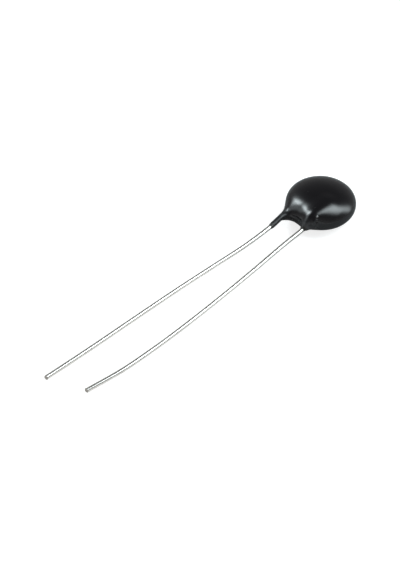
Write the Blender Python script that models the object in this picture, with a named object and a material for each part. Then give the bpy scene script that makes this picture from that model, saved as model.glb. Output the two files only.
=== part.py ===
"""NTC thermistor with two long wire leads.

A ceramic disc has a silver layer on each face and a lead soldered across each layer.
The disc is dipped in a black coating, which runs out along both leads and webs between them.

Metres, +Z up. The part lies on the floor, Z = 0, on the belly of its disc and on both lead tips.
The disc is at +X and the leads run to -X. The origin is on the floor under the middle of the part.

Each piece is modelled in the frame of the disc: the origin at the middle of the ceramic, the
leads to -X, +Y to the left lead and +Z out of the top face. An empty tilts that frame to rest.
"along" is a distance from the middle of the disc towards the leads.
"""

import math
from dataclasses import dataclass

import bmesh
import bpy
import numpy as np
from mathutils import Matrix

# Ceramic disc and its silver layers
CERAMIC_DIAMETER = 0.0100
CERAMIC_THICKNESS = 0.0012
CERAMIC_EDGE = 0.00015
SILVER_THICKNESS = 0.00005
SILVER_MARGIN = 0.0004

# Leads of tinned copper wire
WIRE_DIAMETER = 0.0008
LEFT_LEAD_SIDE = 0.00275
RIGHT_LEAD_SIDE = 0.0024
INNER_INSET = 0.0009
RAMP_LENGTH = 0.0037
LEFT_LEAD_REACH = 0.0594
RIGHT_LEAD_REACH = 0.0564

# How each lead wanders past its ramp: the share of its free run, and the distance from the
# middle line there
LEFT_BENDS = (
    (0.060, 0.00205),
    (0.175, 0.00187),
    (0.310, 0.00216),
    (0.460, 0.00250),
    (0.630, 0.00273),
    (0.840, 0.00296),
    (1.000, 0.00326),
)
RIGHT_BENDS = (
    (0.090, 0.00266),
    (0.260, 0.00328),
    (0.420, 0.00375),
    (0.560, 0.00403),
    (0.730, 0.00412),
    (0.860, 0.00388),
    (1.000, 0.00296),
)

# Solder mounds under the leads
SOLDER_FILM = 0.0001
SOLDER_WIDTH = 0.0022
SOLDER_HEIGHT = 0.00075
SOLDER_OVERRUN = 0.0006
SOLDER_INSET = 0.0016

# Black coating
RIM_COAT = 0.0013
FACE_COAT = 0.00123
LENS_FULLNESS = 2.2
LEAD_COAT = 0.00014
LEAD_COAT_EDGE = 0.00007
LEAD_COAT_TAPER = 0.0010
LEFT_COAT_RUN = 0.0050
RIGHT_COAT_RUN = 0.0012
RIDGE_RISE = 0.0032
WEB_RUN = 0.0003
WEB_THICKNESS = 0.0006
WEB_DROP = 0.0004
LEFT_WEB_SHOULDER = 0.0007
RIGHT_WEB_SHOULDER = 0.0003
LEFT_WEB_CLIMB = 0.0015
RIGHT_WEB_CLIMB = 0.0002
RIDGE_BLEND = 0.0025
NECK_BLEND = 0.0024
WEB_BLEND = 0.0003

# The layer of bond between neighbouring pieces, left open so that each is a solid of its own
BOND_GAP = 0.00003

# Fineness of the surfaces
SKIN_STEP = 0.00038
SKIN_ROUNDS = 2
SKIN_PASSES = 10
SKIN_EASE = 0.5
SETTLE_STEPS = 3
SLOPE_STEP = 1e-6
NEAREST_STEPS = 2
DISC_SIDES = 48
LENS_POINTS = 24
WIRE_BEVEL = 4
RAMP_STEPS = 12
FREE_STEPS = 30
COAT_STEPS = 24
MERGE_DISTANCE = 1e-6
SHARP_ANGLE = math.radians(35)

# Rounds in which the tilt at rest settles, and the least values that the divisions below meet
TILT_ROUNDS = 20
LEAST_LEVEL = 1e-3
LEAST_SLOPE = 0.1

# How far a bore's cutter runs past the end of the coating
CUTTER_OVERRUN = 0.0015

WIRE_RADIUS = WIRE_DIAMETER / 2
CERAMIC_RADIUS = CERAMIC_DIAMETER / 2
SILVER_RADIUS = CERAMIC_RADIUS - SILVER_MARGIN
SILVER_BASE = CERAMIC_THICKNESS / 2 + BOND_GAP
SILVER_TOP = SILVER_BASE + SILVER_THICKNESS
SOLDER_BASE = SILVER_TOP + BOND_GAP
WIRE_HEIGHT = SOLDER_BASE + SOLDER_FILM + BOND_GAP + WIRE_RADIUS
LENS_RADIUS = CERAMIC_RADIUS + RIM_COAT
LENS_HEIGHT = WIRE_HEIGHT + WIRE_RADIUS + FACE_COAT
RAMP_START = math.sqrt(CERAMIC_RADIUS**2 - min(LEFT_LEAD_SIDE, RIGHT_LEAD_SIDE) ** 2)
RAMP_END = RAMP_START + RAMP_LENGTH
RIDGE_START = RAMP_START - RIDGE_RISE
WEB_LIP = LENS_RADIUS + WEB_RUN


def lens_reach(slope):
    """How far the lens reaches from its middle in a direction at this angle to its Z axis."""
    power = LENS_FULLNESS / (LENS_FULLNESS - 1)
    across = (LENS_RADIUS * math.sin(slope)) ** power
    upward = (LENS_HEIGHT * math.cos(slope)) ** power
    return (across + upward) ** (1 / power)


def rest_tilt():
    """The tilt at which the belly of the disc and the lead tips lie on the floor."""
    reach = (LEFT_LEAD_REACH + RIGHT_LEAD_REACH) / 2
    tilt = 0.0
    for _ in range(TILT_ROUNDS):
        drop = lens_reach(tilt) - WIRE_RADIUS * math.cos(tilt)
        tilt = math.asin(drop / reach)
    return tilt


TILT = rest_tilt()
DISC_Z = lens_reach(TILT)
DISC_X = (LEFT_LEAD_REACH * math.cos(TILT) - lens_reach(math.pi / 2 - TILT)) / 2


def ramp_share(along):
    """1 on the face of the disc, falling to 0 where the ramp of the lead ends."""
    passed = np.clip((along - RAMP_START) / RAMP_LENGTH, 0, 1)
    return (1 + np.cos(math.pi * passed)) / 2


@dataclass(frozen=True)
class Lead:
    """One lead: side is +1 at +Y, and face is +1 on the top face of the disc."""

    side: int
    face: int
    disc_side: float
    reach: float
    bends: tuple
    coat_end: float
    web_climb: float
    web_shoulder: float

    @property
    def silver_edge(self):
        """How far along the silver layer ends under this lead."""
        return math.sqrt(SILVER_RADIUS**2 - self.disc_side**2)

    @property
    def inner_end(self):
        """Where the lead ends on the disc, on the far side of its middle."""
        return INNER_INSET - self.silver_edge

    def side_at(self, along):
        """Distance from the middle line: straight on the disc, then smooth through the bends."""
        free_run = self.reach - RAMP_END
        knots = [(self.inner_end, self.disc_side), (RAMP_START, self.disc_side)]
        knots += [(RAMP_END + share * free_run, away) for share, away in self.bends]
        places, sides = np.array(knots).T
        slopes = np.gradient(sides, places)
        slopes[:2] = 0
        k = np.clip(np.searchsorted(places, along) - 1, 0, len(places) - 2)
        span = places[k + 1] - places[k]
        t = np.clip((along - places[k]) / span, 0, 1)
        leaving = (1 + 2 * t) * (1 - t) ** 2 * sides[k] + t * (1 - t) ** 2 * span * slopes[k]
        arriving = t * t * (3 - 2 * t) * sides[k + 1] + t * t * (t - 1) * span * slopes[k + 1]
        return self.side * (leaving + arriving)

    def height_at(self, along):
        """Height over the middle plane: on the face, down the ramp, then on to the floor."""
        tip = self.reach * math.tan(TILT) - (DISC_Z - WIRE_RADIUS) / math.cos(TILT)
        free_share = np.clip((along - RAMP_END) / (self.reach - RAMP_END), 0, 1)
        return self.face * WIRE_HEIGHT * ramp_share(along) + tip * free_share

    def route(self, stations):
        """Points on the middle of the wire at these distances along."""
        along = np.array(stations)
        return np.column_stack((-along, self.side_at(along), self.height_at(along)))

    def heading(self, along):
        """Direction of the wire, for each metre along."""
        step = SLOPE_STEP
        return (self.route(along + step) - self.route(along - step)) / (2 * step)

    def stations(self, start, stop):
        """Where the wire takes a point: close together on the ramp, wide apart beyond it."""
        ramp = np.linspace(RAMP_START, RAMP_END, RAMP_STEPS + 1)
        free = np.linspace(RAMP_END, self.reach, FREE_STEPS + 1)[1:]
        between = [along for along in (*ramp, *free) if start < along < stop]
        return [start, *between, stop]


LEFT = Lead(
    side=1,
    face=-1,
    disc_side=LEFT_LEAD_SIDE,
    reach=LEFT_LEAD_REACH,
    bends=LEFT_BENDS,
    coat_end=LENS_RADIUS + LEFT_COAT_RUN,
    web_climb=LEFT_WEB_CLIMB,
    web_shoulder=LEFT_WEB_SHOULDER,
)
RIGHT = Lead(
    side=-1,
    face=1,
    disc_side=RIGHT_LEAD_SIDE,
    reach=RIGHT_LEAD_REACH,
    bends=RIGHT_BENDS,
    coat_end=LENS_RADIUS + RIGHT_COAT_RUN,
    web_climb=RIGHT_WEB_CLIMB,
    web_shoulder=RIGHT_WEB_SHOULDER,
)


def clear_scene():
    for obj in list(bpy.data.objects):
        bpy.data.objects.remove(obj, do_unlink=True)


def finish(name, colour, metallic, roughness):
    material = bpy.data.materials.new(name)
    material.use_nodes = True
    shader = material.node_tree.nodes["Principled BSDF"]
    shader.inputs["Base Color"].default_value = (*colour, 1.0)
    shader.inputs["Metallic"].default_value = metallic
    shader.inputs["Roughness"].default_value = roughness
    return material


def place(name, data, frame, material):
    obj = bpy.data.objects.new(name, data)
    bpy.context.scene.collection.objects.link(obj)
    obj.parent = frame
    data.materials.append(material)
    return obj


def helper(name, data, frame):
    """An object that only shapes others."""
    obj = bpy.data.objects.new(name, data)
    bpy.context.scene.collection.objects.link(obj)
    obj.parent = frame
    obj.hide_render = True
    obj.display_type = "WIRE"
    return obj


def shaped_mesh(obj):
    """The object's shape, its bevel or modifiers applied, as a new mesh."""
    graph = bpy.context.evaluated_depsgraph_get()
    return bpy.data.meshes.new_from_object(obj.evaluated_get(graph))


def cut(obj, cutter):
    modifier = obj.modifiers.new(cutter.name, "BOOLEAN")
    modifier.operation = "DIFFERENCE"
    modifier.solver = "EXACT"
    modifier.object = cutter


def mesh_from(shape, name):
    """A smooth-shaded mesh of the bmesh, with its faces turned outwards."""
    bmesh.ops.recalc_face_normals(shape, faces=shape.faces)
    mesh = bpy.data.meshes.new(name)
    shape.to_mesh(mesh)
    shape.free()
    mesh.shade_smooth()
    mesh.set_sharp_from_angle(angle=SHARP_ANGLE)
    return mesh


def turned(name, profile):
    """A profile of (radius, height) points, from axis to axis, turned about Z."""
    shape = bmesh.new()
    corners = [shape.verts.new((radius, 0, height)) for radius, height in profile]
    edges = [shape.edges.new(pair) for pair in zip(corners, corners[1:])]
    bmesh.ops.spin(
        shape,
        geom=corners + edges,
        axis=(0, 0, 1),
        cent=(0, 0, 0),
        angle=math.tau,
        steps=DISC_SIDES,
        use_merge=True,
    )
    bmesh.ops.remove_doubles(shape, verts=shape.verts, dist=MERGE_DISTANCE)
    return mesh_from(shape, name)


def wire(name, points, radius):
    curve = bpy.data.curves.new(name, "CURVE")
    curve.dimensions = "3D"
    curve.bevel_depth = radius
    curve.bevel_resolution = WIRE_BEVEL
    curve.use_fill_caps = True
    spline = curve.splines.new("POLY")
    spline.points.add(len(points) - 1)
    for spline_point, point in zip(spline.points, points):
        spline_point.co = (*point, 1)
    return curve


def bore_cutter(lead, frame):
    """The wire grown by the bond, from its inner end to past the end of the coating."""
    start = lead.inner_end - BOND_GAP
    stop = lead.coat_end + CUTTER_OVERRUN
    points = lead.route(lead.stations(start, stop))
    grown = helper("bore_curve", wire("bore_curve", points, WIRE_RADIUS + BOND_GAP), frame)
    mesh = shaped_mesh(grown)
    bpy.data.objects.remove(grown, do_unlink=True)
    return helper("bore_cutter", mesh, frame)


def solder_mound(name, lead, grow):
    """A long mound with a flat underside, under the lead on its face of the disc."""
    start = lead.inner_end - SOLDER_OVERRUN
    stop = lead.silver_edge - SOLDER_INSET
    size = ((stop - start) / 2 + grow, SOLDER_WIDTH / 2 + grow, SOLDER_HEIGHT + grow)
    middle = (-(start + stop) / 2, lead.side * lead.disc_side, SILVER_TOP)
    seat = Matrix.Translation(middle)
    shape = bmesh.new()
    bmesh.ops.create_uvsphere(
        shape,
        u_segments=DISC_SIDES // 2,
        v_segments=DISC_SIDES // 4,
        radius=1,
        matrix=seat @ Matrix.Diagonal((*size, 1)),
    )
    cut_off = bmesh.ops.bisect_plane(
        shape,
        geom=shape.verts[:] + shape.edges[:] + shape.faces[:],
        dist=MERGE_DISTANCE,
        plane_co=(0, 0, SOLDER_BASE - grow),
        plane_no=(0, 0, 1),
        clear_inner=True,
    )
    rim = [part for part in cut_off["geom_cut"] if isinstance(part, bmesh.types.BMEdge)]
    bmesh.ops.edgeloop_fill(shape, edges=rim)
    bmesh.ops.scale(shape, vec=(1, 1, lead.face), verts=shape.verts)
    return mesh_from(shape, name)


def lens_profile():
    """Half of a superellipse, from the top pole over the rim to the bottom pole."""
    points = []
    for angle in np.linspace(math.pi / 2, -math.pi / 2, LENS_POINTS + 1):
        out = abs(math.cos(angle)) ** (2 / LENS_FULLNESS)
        up = math.copysign(abs(math.sin(angle)) ** (2 / LENS_FULLNESS), angle)
        points.append((LENS_RADIUS * out, LENS_HEIGHT * up))
    points[0] = (0, LENS_HEIGHT)
    points[-1] = (0, -LENS_HEIGHT)
    return points


def lens_gap(points):
    """Distance from the lens to each point, below zero inside it."""
    out = np.hypot(points[:, 0], points[:, 1]) / LENS_RADIUS
    up = np.abs(points[:, 2]) / LENS_HEIGHT
    level = (out**LENS_FULLNESS + up**LENS_FULLNESS) ** (1 / LENS_FULLNESS)
    level = np.maximum(level, LEAST_LEVEL)
    out_slope = (out / level) ** (LENS_FULLNESS - 1) / LENS_RADIUS
    up_slope = (up / level) ** (LENS_FULLNESS - 1) / LENS_HEIGHT
    return (level - 1) / np.hypot(out_slope, up_slope)


def nearest_along(points, lead):
    """Where on the coated stretch of the lead each point is nearest."""
    stations = np.linspace(RIDGE_START, lead.coat_end, COAT_STEPS)
    away = np.linalg.norm(points[:, None] - lead.route(stations)[None], axis=2)
    along = stations[away.argmin(axis=1)]
    for _ in range(NEAREST_STEPS):
        run = lead.heading(along)
        ahead = ((points - lead.route(along)) * run).sum(axis=1) / (run**2).sum(axis=1)
        along = np.clip(along + ahead, RIDGE_START, lead.coat_end)
    return along


def sleeve_gap(points, lead):
    """Distance from the coat on a lead: it rises out of the lens and thins to an edge."""
    along = nearest_along(points, lead)
    turns = (RIDGE_START, RAMP_START, lead.coat_end - LEAD_COAT_TAPER, lead.coat_end)
    coat = np.interp(along, turns, (0, LEAD_COAT, LEAD_COAT, LEAD_COAT_EDGE))
    return np.linalg.norm(points - lead.route(along), axis=1) - WIRE_RADIUS - coat


def web_gap(points):
    """Distance from the web: a flat sheet whose round lip curves out along both leads."""
    along, side, height = -points[:, 0], points[:, 1], points[:, 2] + WEB_DROP
    on_left = side > 0
    lead_side = np.where(on_left, LEFT.side_at(along), -RIGHT.side_at(along))
    climb = np.where(on_left, LEFT.web_climb, RIGHT.web_climb)
    across = np.clip(np.abs(side) / lead_side, 0, 1)
    slant = np.hypot(1, 2 * climb * across / lead_side)
    past_lip = (along - WEB_LIP - climb * across**2) / slant + WEB_THICKNESS / 2
    shoulder = np.where(on_left, LEFT.web_shoulder, RIGHT.web_shoulder)
    shoulder_share = np.clip((WEB_LIP - along) / (WEB_LIP - RAMP_START), 0, 1)
    past_side = np.abs(side) - lead_side - shoulder * shoulder_share
    past = [np.maximum(over, 0) for over in (past_lip, past_side, RAMP_START - along)]
    return np.linalg.norm([*past, height], axis=0) - WEB_THICKNESS / 2


def blended(first, second, width):
    """The nearer of two surfaces, filled in where they meet."""
    near = np.maximum(width - np.abs(first - second), 0) / width
    return np.minimum(first, second) - near**2 * width / 4


def skin_gap(points):
    """Distance from the outside of the coating."""
    sleeves = np.minimum(sleeve_gap(points, LEFT), sleeve_gap(points, RIGHT))
    from_axis = np.hypot(points[:, 0], points[:, 1])
    width = np.interp(from_axis, (CERAMIC_RADIUS, LENS_RADIUS), (RIDGE_BLEND, NECK_BLEND))
    body = blended(lens_gap(points), sleeves, width)
    return blended(body, web_gap(points), WEB_BLEND)


def settled(points):
    """The points moved straight onto the outside of the coating."""
    for _ in range(SETTLE_STEPS):
        slope = np.column_stack(
            [
                (skin_gap(points + step) - skin_gap(points - step)) / (2 * SLOPE_STEP)
                for step in np.eye(3) * SLOPE_STEP
            ]
        )
        steep = np.maximum((slope**2).sum(axis=1), LEAST_SLOPE)
        points = points - slope * (skin_gap(points) / steep)[:, None]
    return points


def rough_coating(frame):
    """The lens, both coated lead ends and a block between them, as overlapping solids."""
    rough = bmesh.new()
    rough.from_mesh(turned("rough_lens", lens_profile()))
    for lead in (LEFT, RIGHT):
        points = lead.route(lead.stations(lead.inner_end, lead.coat_end))
        tube = helper("rough_sleeve", wire("rough_sleeve", points, WIRE_RADIUS + LEAD_COAT), frame)
        rough.from_mesh(shaped_mesh(tube))
        bpy.data.objects.remove(tube, do_unlink=True)
    size = (WEB_LIP - RAMP_START, LEFT_LEAD_SIDE + RIGHT_LEAD_SIDE, WEB_THICKNESS)
    middle = (-(WEB_LIP + RAMP_START) / 2, (LEFT_LEAD_SIDE - RIGHT_LEAD_SIDE) / 2, -WEB_DROP)
    slab = Matrix.Translation(middle) @ Matrix.Diagonal((*size, 1))
    bmesh.ops.create_cube(rough, size=1, matrix=slab)
    return mesh_from(rough, "rough_coating")


def even_skin(mesh, frame):
    """One closed skin of faces of even size around everything in the mesh."""
    rough = helper("rough_coating", mesh, frame)
    remesh = rough.modifiers.new("even_skin", "REMESH")
    remesh.mode = "VOXEL"
    remesh.voxel_size = SKIN_STEP
    skin = shaped_mesh(rough)
    bpy.data.objects.remove(rough, do_unlink=True)
    return skin


def eased_skin(mesh):
    """The skin smoothed and settled, in turns, on the blended outside of the coating."""
    shape = bmesh.new()
    shape.from_mesh(mesh)
    for _ in range(SKIN_PASSES):
        bmesh.ops.smooth_vert(
            shape,
            verts=shape.verts,
            factor=SKIN_EASE,
            use_axis_x=True,
            use_axis_y=True,
            use_axis_z=True,
        )
        points = np.array([vert.co for vert in shape.verts])
        for vert, point in zip(shape.verts, settled(points)):
            vert.co = point
    return mesh_from(shape, "coating")


def coating_skin(frame):
    """A second skin over the first takes up the faces that the easing stretched."""
    mesh = rough_coating(frame)
    for _ in range(SKIN_ROUNDS):
        mesh = eased_skin(even_skin(mesh, frame))
    return mesh


def disc_outline(radius, half_thickness, edge):
    """Profile of a flat disc with small chamfers, from the top pole to the bottom pole."""
    return [
        (0, half_thickness),
        (radius - edge, half_thickness),
        (radius, half_thickness - edge),
        (radius, edge - half_thickness),
        (radius - edge, -half_thickness),
        (0, -half_thickness),
    ]


def stack_outline():
    """Profile of the ceramic and its two silver layers, grown by the bond."""
    silver = (SILVER_RADIUS + BOND_GAP, SILVER_TOP + BOND_GAP)
    ceramic = (CERAMIC_RADIUS + BOND_GAP, CERAMIC_THICKNESS / 2 + BOND_GAP)
    upper = [(0, silver[1]), silver, (silver[0], ceramic[1]), ceramic]
    lower = [(radius, -height) for radius, height in reversed(upper)]
    return upper + lower


def silver_outline(face):
    return [
        (0, face * SILVER_TOP),
        (SILVER_RADIUS, face * SILVER_TOP),
        (SILVER_RADIUS, face * SILVER_BASE),
        (0, face * SILVER_BASE),
    ]


def build():
    clear_scene()
    frame = bpy.data.objects.new("disc_frame", None)
    bpy.context.scene.collection.objects.link(frame)
    frame.location = (DISC_X, 0, DISC_Z)
    frame.rotation_euler = (0, -TILT, 0)

    black_coat = finish("black_coat", (0.012, 0.013, 0.016), 0.0, 0.22)
    ceramic = finish("ceramic", (0.10, 0.10, 0.105), 0.0, 0.75)
    silver = finish("silver", (0.80, 0.79, 0.76), 1.0, 0.45)
    solder = finish("solder", (0.62, 0.63, 0.65), 1.0, 0.35)
    tinned_wire = finish("tinned_wire", (0.78, 0.78, 0.77), 1.0, 0.28)

    outline = disc_outline(CERAMIC_RADIUS, CERAMIC_THICKNESS / 2, CERAMIC_EDGE)
    place("ceramic_disc", turned("ceramic_disc", outline), frame, ceramic)

    coating = place("coating", coating_skin(frame), frame, black_coat)
    cut(coating, helper("stack_cutter", turned("stack_cutter", stack_outline()), frame))

    for lead, lead_name, face_name in ((LEFT, "left", "bottom"), (RIGHT, "right", "top")):
        silver_name = f"electrode_{face_name}"
        place(silver_name, turned(silver_name, silver_outline(lead.face)), frame, silver)

        points = lead.route(lead.stations(lead.inner_end, lead.reach))
        lead_curve = wire(f"lead_{lead_name}", points, WIRE_RADIUS)
        place(f"lead_{lead_name}", lead_curve, frame, tinned_wire)

        bore = bore_cutter(lead, frame)
        solder_name = f"solder_{face_name}"
        mound = place(solder_name, solder_mound(solder_name, lead, 0), frame, solder)
        cut(mound, bore)

        grown_mound = solder_mound("mound_cutter", lead, BOND_GAP)
        cut(coating, helper("mound_cutter", grown_mound, frame))
        cut(coating, bore)


build()
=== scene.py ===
"""An NTC thermistor, dressed for its picture.

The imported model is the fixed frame. The black coating and both leads get finer pieces in their
place. The ceramic, silver and solder inside keep their solids and get materials.

The coating is shaped in the frame of the disc, as in the part: the origin at the middle of the
ceramic, the leads to -X, +Y to the left lead and +Z out of the top face. "along" is a distance
from the middle of the disc towards the leads.
"""

import math
from dataclasses import dataclass

import bmesh
import bpy
import numpy as np
from bpy.props import FloatProperty, FloatVectorProperty, IntProperty, PointerProperty
from mathutils import Euler, Matrix, Vector, noise


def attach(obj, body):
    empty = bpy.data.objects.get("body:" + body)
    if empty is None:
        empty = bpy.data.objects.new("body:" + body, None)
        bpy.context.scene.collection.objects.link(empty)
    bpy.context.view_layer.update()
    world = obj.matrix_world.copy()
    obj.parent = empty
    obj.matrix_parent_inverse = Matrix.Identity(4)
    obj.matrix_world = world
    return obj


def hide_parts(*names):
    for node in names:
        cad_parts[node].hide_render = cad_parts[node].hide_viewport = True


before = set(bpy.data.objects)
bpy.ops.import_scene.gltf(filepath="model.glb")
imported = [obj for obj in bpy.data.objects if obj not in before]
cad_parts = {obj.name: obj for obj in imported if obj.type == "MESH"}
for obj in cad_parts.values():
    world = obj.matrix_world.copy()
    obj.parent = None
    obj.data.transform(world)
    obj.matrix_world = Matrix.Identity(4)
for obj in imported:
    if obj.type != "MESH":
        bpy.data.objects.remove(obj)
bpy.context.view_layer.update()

bl_info = {
    "name": "NTC thermistor",
    "version": (1, 0, 0),
    "blender": (4, 5, 0),
    "location": "3D View > Sidebar > Thermistor",
    "description": "Coating, leads, inner pieces and studio of a dipped disc thermistor",
    "category": "Object",
}

# Sizes of the part that its finer pieces repeat
CERAMIC_RADIUS = 0.0050
WIRE_RADIUS = 0.0004
WIRE_HEIGHT = 0.00124
RAMP_LENGTH = 0.0037
LEFT_DISC_SIDE = 0.00275
RIGHT_DISC_SIDE = 0.0024
LEFT_BENDS = (
    (0.060, 0.00205),
    (0.175, 0.00187),
    (0.310, 0.00216),
    (0.460, 0.00250),
    (0.630, 0.00273),
    (0.840, 0.00296),
    (1.000, 0.00326),
)
RIGHT_BENDS = (
    (0.090, 0.00266),
    (0.260, 0.00328),
    (0.420, 0.00375),
    (0.560, 0.00403),
    (0.730, 0.00412),
    (0.860, 0.00388),
    (1.000, 0.00296),
)
LENS_RADIUS = 0.0063
LENS_HEIGHT = 0.00287
LENS_FULLNESS = 2.2
LEAD_COAT = 0.00014
LEAD_COAT_TAPER = 0.0010
RIDGE_RISE = 0.0032
WEB_LIP = LENS_RADIUS + 0.0003
WEB_THICKNESS = 0.0006
WEB_DROP = 0.0004
RIDGE_BLEND = 0.0025
NECK_BLEND = 0.0024
WEB_BLEND = 0.0003

# The edge of the coat on a lead dives this far into the wire, and wanders by this much. It leans
# to one side, and runs in waves: how many there are around the wire, their share and their start
COAT_DIVE = 0.00004
COAT_WANDER = 0.00016
EDGE_LEAN = 0.6
EDGE_WAVES = ((3, 0.35, 1.1), (7, 0.2, 0.0))

# The coat on a lead looks thin over this many tapers before its edge, out to this many times its
# thickness from the wire
THINNING_TAPERS = 1.2
THIN_COATS = 1.5

# Over this distance past the lens, the coat on a lead loses its gloss, the left one by less
DULLING_RUN = 0.0012
LEFT_DULLNESS = 0.6
RIGHT_DULLNESS = 1.0

# Soft waves of the skin and dents of the wire, for each metre
SKIN_WAVES = 450
WIRE_DENTS = 400

# Distance between the rings of a wire, and between the beads that its coat is first made of
WIRE_STEP = WIRE_RADIUS / 1.6
BEAD_STEP = WIRE_RADIUS / 3

# How far apart the dents of the two leads are taken from the noise
DENT_SHIFT = 9

# The cut end of a wire: its worn edge, how far the cut slants back, the side it slants back on,
# the rings of the cut face as shares of the wire's radius, and the angle from which an edge
# stays sharp
CUT_EDGE = 0.00003
CUT_SLANT = 0.00036
CUT_SIDE = math.radians(125)
CUT_RINGS = (0.93, 0.9, 0.6, 0.3, 0.1)
SHARP_ANGLE = math.radians(30)

# A burst bubble beside the right lead and a grain of dust: places on the skin, in the disc's frame
BUBBLE_PLACE = (-0.00532, -0.00361, 0.00131)
BUBBLE_RADIUS = 0.00040
BUBBLE_RIM = 0.00010
BUBBLE_HEIGHT = 0.00009
GRAIN_PLACE = (-0.00480, -0.00332, 0.00201)
GRAIN_RADIUS = 0.00015
GRAIN_HEIGHT = 0.00011

# Limits that keep the distances steady, and the step over which a slope is taken
LEAST_LEVEL = 1e-3
LEAST_SLOPE = 0.1
SLOPE_STEP = 1e-6

# Turns of each search and of the smoothing, and the places on a lead that a search starts from
TILT_TURNS = 20
NEAREST_STATIONS = 24
NEAREST_TURNS = 2
REMESH_TURNS = 2
REMESH_EASES = 6
FINE_EASES = 2


def lens_reach(slope):
    """How far the lens reaches from its middle in a direction at this angle to its Z axis."""
    power = LENS_FULLNESS / (LENS_FULLNESS - 1)
    across = (LENS_RADIUS * math.sin(slope)) ** power
    upward = (LENS_HEIGHT * math.cos(slope)) ** power
    return (across + upward) ** (1 / power)


def rest_tilt(left_reach, right_reach):
    """The tilt at which the belly of the disc and the lead tips lie on the floor."""
    tilt = 0.0
    for _ in range(TILT_TURNS):
        drop = lens_reach(tilt) - WIRE_RADIUS * math.cos(tilt)
        tilt = math.asin(2 * drop / (left_reach + right_reach))
    return tilt


LEFT_LEAD_REACH = 0.0594
RIGHT_LEAD_REACH = 0.0564
TILT = rest_tilt(LEFT_LEAD_REACH, RIGHT_LEAD_REACH)
DISC_Z = lens_reach(TILT)
DISC_X = (LEFT_LEAD_REACH * math.cos(TILT) - lens_reach(math.pi / 2 - TILT)) / 2
DISC_FRAME = Matrix.Translation((DISC_X, 0, DISC_Z)) @ Matrix.Rotation(-TILT, 4, "Y")


# Routes of the leads


@dataclass(frozen=True)
class Lead:
    """One lead: side is +1 at +Y, and face is +1 on the top face of the disc."""

    name: str
    side: int
    face: int
    disc_side: float
    inner_end: float
    reach: float
    bends: tuple
    coat_end: float
    web_climb: float
    web_shoulder: float

    def side_at(self, along):
        """Distance from the middle line: straight on the disc, then smooth through the bends."""
        free_run = self.reach - RAMP_END
        knots = [(self.inner_end, self.disc_side), (RAMP_START, self.disc_side)]
        knots += [(RAMP_END + share * free_run, away) for share, away in self.bends]
        places, sides = np.array(knots).T
        slopes = np.gradient(sides, places)
        slopes[:2] = 0
        k = np.clip(np.searchsorted(places, along) - 1, 0, len(places) - 2)
        span = places[k + 1] - places[k]
        t = np.clip((along - places[k]) / span, 0, 1)
        leaving = (1 + 2 * t) * (1 - t) ** 2 * sides[k] + t * (1 - t) ** 2 * span * slopes[k]
        arriving = t * t * (3 - 2 * t) * sides[k + 1] + t * t * (t - 1) * span * slopes[k + 1]
        return self.side * (leaving + arriving)

    def height_at(self, along):
        """Height over the middle plane: on the face, down the ramp, then on to the floor."""
        passed = np.clip((along - RAMP_START) / RAMP_LENGTH, 0, 1)
        on_face = (1 + np.cos(math.pi * passed)) / 2
        tip = self.reach * math.tan(TILT) - (DISC_Z - WIRE_RADIUS) / math.cos(TILT)
        free_share = np.clip((along - RAMP_END) / (self.reach - RAMP_END), 0, 1)
        return self.face * WIRE_HEIGHT * on_face + tip * free_share

    def route(self, along):
        """Points on the middle of the wire at these distances along."""
        return np.column_stack((-along, self.side_at(along), self.height_at(along)))

    def heading(self, along):
        """Direction of the wire, for each metre along."""
        step = SLOPE_STEP
        return (self.route(along + step) - self.route(along - step)) / (2 * step)


RAMP_START = math.sqrt(CERAMIC_RADIUS**2 - RIGHT_DISC_SIDE**2)
RAMP_END = RAMP_START + RAMP_LENGTH
RIDGE_START = RAMP_START - RIDGE_RISE
LEFT = Lead(
    name="lead_left",
    side=1,
    face=-1,
    disc_side=LEFT_DISC_SIDE,
    inner_end=-0.00279,
    reach=LEFT_LEAD_REACH,
    bends=LEFT_BENDS,
    coat_end=LENS_RADIUS + 0.0050,
    web_climb=0.0015,
    web_shoulder=0.0007,
)
RIGHT = Lead(
    name="lead_right",
    side=-1,
    face=1,
    disc_side=RIGHT_DISC_SIDE,
    inner_end=-0.00302,
    reach=RIGHT_LEAD_REACH,
    bends=RIGHT_BENDS,
    coat_end=LENS_RADIUS + 0.0012,
    web_climb=0.0002,
    web_shoulder=0.0003,
)


# Outside of the coating


def lens_gap(points):
    """Distance from the lens to each point, below zero inside it."""
    out = np.hypot(points[:, 0], points[:, 1]) / LENS_RADIUS
    up = np.abs(points[:, 2]) / LENS_HEIGHT
    level = (out**LENS_FULLNESS + up**LENS_FULLNESS) ** (1 / LENS_FULLNESS)
    level = np.maximum(level, LEAST_LEVEL)
    out_slope = (out / level) ** (LENS_FULLNESS - 1) / LENS_RADIUS
    up_slope = (up / level) ** (LENS_FULLNESS - 1) / LENS_HEIGHT
    return (level - 1) / np.hypot(out_slope, up_slope)


def nearest_along(points, lead):
    """Where on the coated stretch of the lead each point is nearest."""
    stations = np.linspace(RIDGE_START, lead.coat_end, NEAREST_STATIONS)
    away = np.linalg.norm(points[:, None] - lead.route(stations)[None], axis=2)
    along = stations[away.argmin(axis=1)]
    for _ in range(NEAREST_TURNS):
        run = lead.heading(along)
        ahead = ((points - lead.route(along)) * run).sum(axis=1) / (run**2).sum(axis=1)
        along = np.clip(along + ahead, RIDGE_START, lead.coat_end)
    return along


def edge_wander(outward, lead):
    """How the end of the coat runs up and down around the wire."""
    around = np.arctan2(outward[:, 2], outward[:, 1])
    wander = lead.side * np.cos(around - EDGE_LEAN)
    for count, share, start in EDGE_WAVES:
        wander = wander + share * np.sin(count * around + start)
    return COAT_WANDER * wander


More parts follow.
